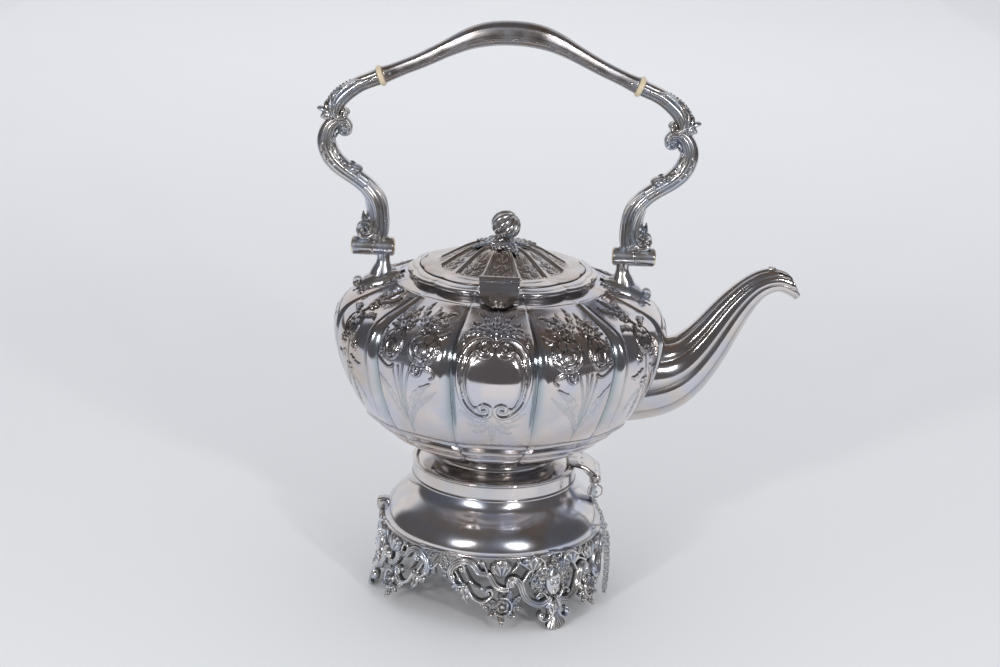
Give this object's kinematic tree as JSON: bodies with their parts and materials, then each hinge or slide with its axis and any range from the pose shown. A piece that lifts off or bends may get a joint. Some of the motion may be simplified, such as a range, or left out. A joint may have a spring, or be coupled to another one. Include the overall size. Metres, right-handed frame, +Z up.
{
  "type": "swing-handled kettle on burner stand",
  "caption": "Lobed swing-handled kettle with hinged lid and curved spout, tilting on a round stand with pierced scroll feet, a burner and a chained lock pin.",
  "frame": {"origin": "on the stand's vertical axis at table level", "axes": "+Z up, +X towards the spout, -Y towards the lid hinge and the lock pin's head"},
  "size_m": [0.2848, 0.1964, 0.3469],
  "materials": {
    "silver_plate": "polished silver plate, lightly tarnished",
    "silver_cast": "cast silver plate with oxidised recesses",
    "silver_tarnished": "chased silver plate with brown tarnish",
    "ivory": "polished cream insulator",
    "cotton_wick": "braided cotton"
  },
  "bodies": {
    "stand": {"stand_collar": "silver_plate", "stand_drum": "silver_plate", "stand_foot_back_right": "silver_cast", "stand_foot_left": "silver_cast", "stand_foot_front_right": "silver_cast", "stand_hinge_post": "silver_plate", "keeper_lug": "silver_cast", "chain_anchor": "silver_cast", "burner_cradle": "silver_plate"},
    "kettle": {"kettle_body": "silver_plate", "kettle_foot": "silver_plate", "mouth_collar": "silver_plate", "spout": "silver_plate", "handle_bracket_right": "silver_cast", "handle_bracket_left": "silver_cast", "handle_pin_right": "silver_plate", "handle_pin_left": "silver_plate", "kettle_hinge_strap": "silver_plate", "lid_hinge_body_leaf": "silver_plate", "lid_hinge_pin": "silver_plate"},
    "lid": {"lid_dome": "silver_tarnished", "lid_bezel": "silver_plate", "lid_hinge_lid_leaf": "silver_plate", "finial_leaves": "silver_cast", "finial_melon": "silver_cast", "finial_stud": "silver_plate", "finial_nut": "silver_plate"},
    "handle": {"handle_arm_right": "silver_cast", "handle_arm_left": "silver_cast", "insulator_ring_right": "ivory", "insulator_ring_left": "ivory", "handle_grip": "silver_plate", "insulator_pins": "silver_plate"},
    "lock_pin": {"lock_pin": "silver_cast", "lock_ring": "silver_cast", "lock_chain": "silver_cast"},
    "burner": {"burner_font": "silver_plate", "wick_holder": "silver_plate", "wick": "cotton_wick"},
    "snuffer": {"snuffer": "silver_plate"}
  },
  "joints": [
    {"name": "kettle_tilt", "type": "hinge", "parent": "stand", "child": "kettle", "pos_m": [0.0608, 0, 0.0762], "axis": [0, 1, 0], "range_deg": [0, 45]},
    {"name": "lid_hinge", "type": "hinge", "parent": "kettle", "child": "lid", "pos_m": [-0.0015, -0.0538, 0.209], "axis": [1, 0, 0], "range_deg": [0, 100]},
    {"name": "handle_swing", "type": "hinge", "parent": "kettle", "child": "handle", "pos_m": [0, 0, 0.212], "axis": [-1, 0, 0], "range_deg": [-70, 70]},
    {"name": "lock_pin_pull", "type": "slide", "parent": "stand", "child": "lock_pin", "axis": [0, -1, 0], "range_m": [0, 0.034]},
    {"name": "burner_lift", "type": "slide", "parent": "stand", "child": "burner", "axis": [0, 0, 1], "range_m": [0, 0.004]},
    {"name": "snuffer_lift", "type": "slide", "parent": "burner", "child": "snuffer", "axis": [0, 0, 1], "range_m": [0, 0.005]}
  ]
}
